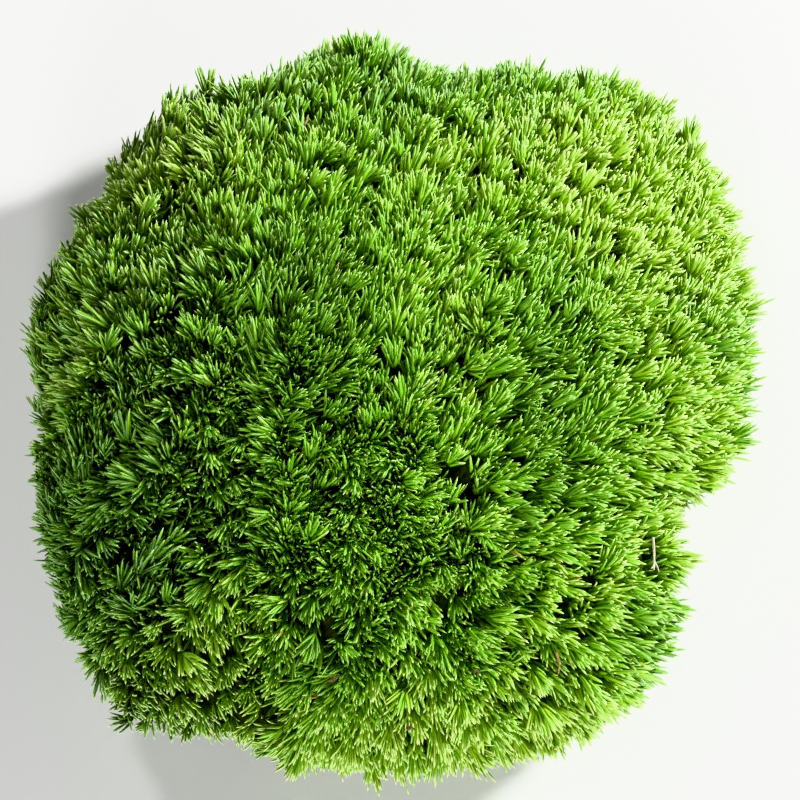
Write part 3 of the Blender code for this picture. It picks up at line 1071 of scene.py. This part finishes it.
def leaf_material(settings):
    """Green of the shoots: dark foot, vivid body, pale nerve and tip, with fine streaks; foot and
    edges partly painted shade, nerve and tip partly painted highlight.
    """
    shader = Shader("moss_leaf")
    place = shader.node("ShaderNodeUVMap", {"uv_map": MAP_NAME}).value(0)
    u, along, _ = shader.separate(place)
    scaled = u * TONES
    column = scaled.floor()
    across = scaled.fraction()
    off_middle = (across - 0.5).absolute() * 2.0
    age = (column / HUES).floor() / (AGES - 2)
    hue = (column / HUES).fraction()
    green = leaf_green(shader, settings, along, age)
    # Painted shade and painted sunlight tone the green by hue.
    green = shader.mix(1.0, green, shader.ramp(hue, HUE_STOPS), "MULTIPLY")

    # The pale nerve, partly a painted highlight, stronger where the hue is sunlit and whiter on
    # older leaves.
    line = shader.fade(off_middle, NERVE_FADE) * shader.fade(along, NERVE_GROWTH)
    line = line * (NERVE_LEAST + NERVE_HIGHLIGHT_BY_HUE * hue + NERVE_HIGHLIGHT_BY_AGE * age)
    pale = tuple(NERVE_TONE * tone for tone in settings.nerve_and_highlight_colour)
    white = tuple(NERVE_TONE * tone for tone in settings.frosted_and_highlight_colour)
    green = shader.mix(line, green, shader.mix(age, pale, white))
    # Painted sunlight on the ends of young leaves towards the sunlit edge.
    sunlit = shader.fade(along, SUNLIT_GROWTH) * hue**3 * (1.0 - age)
    green = shader.mix(sunlit, green, PAINTED_SUNLIT_TIP)
    withered = shader.ramp(along, WITHERED_STOPS)
    colour = shader.mix(age.above(OLDEST_GREEN), green, withered)

    streak_place = shader.combine(
        across * STREAKS_ACROSS, along * STREAKS_ALONG, column * STREAKS_APART
    )
    streaks = shader.noise(streak_place, *LEAF_STREAKS).value(0)
    # Fine streaks, and painted shade towards each leaf's edges.
    light = (LEAF_LIGHT + STREAK_LIGHT * streaks) * (1.0 - EDGE_SHADE * off_middle**2)
    colour = shader.mix(1.0, colour, shader.combine(light, light, light), "MULTIPLY")
    rough = shader.fade(along, ROUGHNESS_FADE) + STREAK_ROUGHNESS * (streaks - 0.5)
    rough = rough + SHADED_ROUGHNESS * (1.0 - hue)
    return shader.surface(
        {
            "Base Color": colour,
            "Roughness": rough,
            "Normal": shader.bump(streaks + EDGE_RISE * off_middle, *LEAF_BUMP),
            "Specular IOR Level": 0.35,
            "Subsurface Weight": 0.25,
            "Subsurface Radius": (0.9, 1.0, 0.15),
            "Subsurface Scale": 0.0005,
        }
    )


def old_growth_material():
    """Old growth: a dark mass of threads, its near-black partly painted shade, greener with painted
    light towards the sunlit right.
    """
    shader = Shader("old_growth")
    place = shader.object_place()
    threads = shader.noise(place, *OLD_THREADS).value(0)
    clumps = shader.noise(place, *OLD_CLUMPS).value(0)
    grain = (1.0 - THREAD_SHARE) * clumps + THREAD_SHARE * threads
    x, _, _ = shader.separate(place)
    # Painted light turns the old growth green towards the right.
    rightness = shader.fade(x * OLD_TURN + OLD_TURN_MIDDLE, OLD_TURN_STOPS)
    dark = shader.ramp(grain, OLD_SHADED_STOPS)
    green = shader.ramp(grain, OLD_LIT_STOPS)
    return shader.surface(
        {
            "Base Color": shader.mix(rightness, dark, green),
            "Roughness": 0.95,
            "Normal": shader.bump(threads, *OLD_BUMP),
            "Specular IOR Level": 0.1,
        }
    )


def fibrous_material(name, stops, across, along):
    """A dry, matt skin with fibres: spots stretched along Z, and fine grit over them."""
    shader = Shader(name)
    place = shader.object_place()
    x, y, z = shader.separate(place)
    fibres = shader.noise(shader.combine(x * across, y * across, z * along), *FIBRES).value(0)
    grit = shader.noise(place, *GRIT).value(0)
    least, growth = FIBROUS_ROUGHNESS
    return shader.surface(
        {
            "Base Color": shader.ramp(FIBRE_SHARE * fibres + (1.0 - FIBRE_SHARE) * grit, stops),
            "Roughness": least + growth * grit,
            "Normal": shader.bump(fibres + GRIT_RISE * grit, *FIBRE_BUMP),
            "Specular IOR Level": 0.3,
        }
    )


def matted_material():
    """Root mat: dark crumbs of soil held by a felt of brown threads."""
    shader = Shader("root_mat")
    place = shader.object_place()
    threads = shader.noise(place, *MAT_THREADS).value(0)
    ridges = (threads - 0.5).absolute() * RIDGE_STEEPNESS
    crumbs = shader.node(
        "ShaderNodeTexVoronoi", {"feature": "F1"}, {"Vector": place, "Scale": MAT_CRUMBS}
    ).value(0)
    patches = shader.noise(place, *MAT_PATCHES).value(0)
    mixed = RIDGE_SHARE * ridges + CRUMB_SHARE * crumbs + PATCH_SHARE * patches
    least, growth = MAT_ROUGHNESS
    return shader.surface(
        {
            "Base Color": shader.ramp(mixed, MAT_STOPS),
            "Roughness": least + growth * patches,
            "Normal": shader.bump(crumbs - ridges, *MAT_BUMP),
            "Specular IOR Level": 0.25,
        }
    )


def soft_light(strength):
    """Light all round that is bright at the height of the clump and dim overhead."""
    shader = Shader("soft_light", "worlds")
    direction = shader.node("ShaderNodeTexCoord").value("Generated")
    right, back, height = shader.separate(direction)
    power = (FILL_MIDDLE + FILL_RIGHT * right - FILL_BACK * back) * strength
    grey = shader.fade(height, FILL_STOPS)
    glow = shader.node("ShaderNodeBackground", {}, {"Color": grey, "Strength": power})
    shader.node("ShaderNodeOutputWorld", {}, {"Surface": glow.value(0)})
    return shader.owner


class MOSS_OT_old_growth(bpy.types.Operator):
    """Make the dark old growth, partly painted shade, that shows between the shoots"""

    bl_idname = "moss.old_growth"
    bl_label = "Old growth"

    def execute(self, context):
        cushion = Cushion()
        depths = np.where(cushion.tips, OLD_TIP_DEPTH, OLD_DEPTH) * cushion.free
        points = cushion.points - cushion.normals * depths[:, None]
        points[:, 2] = np.maximum(points[:, 2], OLD_FOOT)
        finish_piece(mesh_piece("old_growth", points, cushion.faces), old_growth_material())
        return {"FINISHED"}


class MOSS_OT_shoots(bpy.types.Operator):
    """Grow the green shoots on the cushion"""

    bl_idname = "moss.shoots"
    bl_label = "Green shoots"

    def execute(self, context):
        settings = context.scene.moss_shoots
        grown = grow(Cushion(), settings, np.random.default_rng(SHOOT_SEED))
        pattern, faces = model_leaf()
        material = leaf_material(settings)
        for number, name in enumerate(SECTORS):
            batches = []
            for *lines, column, owner in grown:
                bearing = np.degrees(np.arctan2(owner[:, 1], owner[:, 0])) % 360
                own = bearing // (360 / len(SECTORS)) == number
                chosen = [line[own] for line in lines]
                batches.append(leaf_batch(pattern, faces, chosen, column[own]))
            finish_piece(leaf_piece(name, batches), material)
        return {"FINISHED"}


class MOSS_OT_litter(bpy.types.Operator):
    """Finish the root mat, the dry stalk, the needle and the crumbs of dead leaf"""

    bl_idname = "moss.litter"
    bl_label = "Root mat and dry bits"

    def execute(self, context):
        finishes = {
            "dry_stalk": fibrous_material("dry_stalk", STALK_STOPS, *STALK_FIBRES),
            "dry_needle": fibrous_material("dry_needle", NEEDLE_STOPS, *NEEDLE_FIBRES),
            "leaf_crumb": fibrous_material("leaf_crumb", CRUMB_STOPS, *CRUMB_FIBRES),
            ROOT_MAT: matted_material(),
        }
        for name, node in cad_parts.items():
            if name == CUSHION:
                continue
            material = next(m for start, m in finishes.items() if name.startswith(start))
            for place in node.material_slots:
                place.material = material
        return {"FINISHED"}


class MOSS_OT_stage(bpy.types.Operator):
    """Set the floor, the light and the camera"""

    bl_idname = "moss.stage"
    bl_label = "Stage"

    def execute(self, context):
        settings = context.scene.moss_stage
        scene = context.scene
        deselect_all()
        bpy.ops.mesh.primitive_circle_add(
            vertices=FLOOR_SIDES, radius=FLOOR_RADIUS, fill_type="NGON"
        )
        floor = context.object
        floor.name = "floor"
        finish = {"Base Color": tuple(settings.floor_colour), "Roughness": 0.9}
        floor.data.materials.append(Shader("floor").surface(finish))
        scene.world = soft_light(settings.fill_strength)
        scene.view_settings.view_transform = "Khronos PBR Neutral"
        for name, power, size, place in LAMPS:
            lamp = bpy.data.lights.new(name, "AREA")
            lamp.energy = power * settings.lamp_strength
            lamp.shape = "DISK"
            lamp.size = size
            holder = bpy.data.objects.new(name, lamp)
            scene.collection.objects.link(holder)
            holder.location = place
            holder.rotation_euler = (-Vector(place)).to_track_quat("-Z", "Y").to_euler()
        camera_data = bpy.data.cameras.new("camera")
        camera_data.lens = LENS
        camera_data.sensor_width = SENSOR
        camera_data.clip_start = CLIP_START
        camera = bpy.data.objects.new("camera", camera_data)
        scene.collection.objects.link(camera)
        back = Vector((0, -math.cos(VIEW_RISE), math.sin(VIEW_RISE)))
        camera.location = Vector(VIEW_TARGET) + VIEW_DISTANCE * back
        camera.rotation_euler = (math.radians(90) - VIEW_RISE, 0, 0)
        scene.camera = camera
        return {"FINISHED"}


class MOSS_PT_panel(bpy.types.Panel):
    """The steps that build the clump"""

    bl_label = "Moss clump"
    bl_idname = "MOSS_PT_panel"
    bl_space_type = "VIEW_3D"
    bl_region_type = "UI"
    bl_category = "Moss"

    def draw(self, context):
        for step in STEPS:
            self.layout.operator(step.bl_idname)


STEPS = (MOSS_OT_old_growth, MOSS_OT_shoots, MOSS_OT_litter, MOSS_OT_stage)
CLASSES = (ShootSettings, StageSettings) + STEPS + (MOSS_PT_panel,)


def register():
    for cls in CLASSES:
        bpy.utils.register_class(cls)
    bpy.types.Scene.moss_shoots = bpy.props.PointerProperty(type=ShootSettings)
    bpy.types.Scene.moss_stage = bpy.props.PointerProperty(type=StageSettings)


def unregister():
    del bpy.types.Scene.moss_stage
    del bpy.types.Scene.moss_shoots
    for cls in reversed(CLASSES):
        bpy.utils.unregister_class(cls)


def main():
    register()
    bpy.ops.moss.old_growth()
    bpy.ops.moss.shoots()
    bpy.ops.moss.litter()
    bpy.ops.moss.stage()


if __name__ == "__main__":
    main()
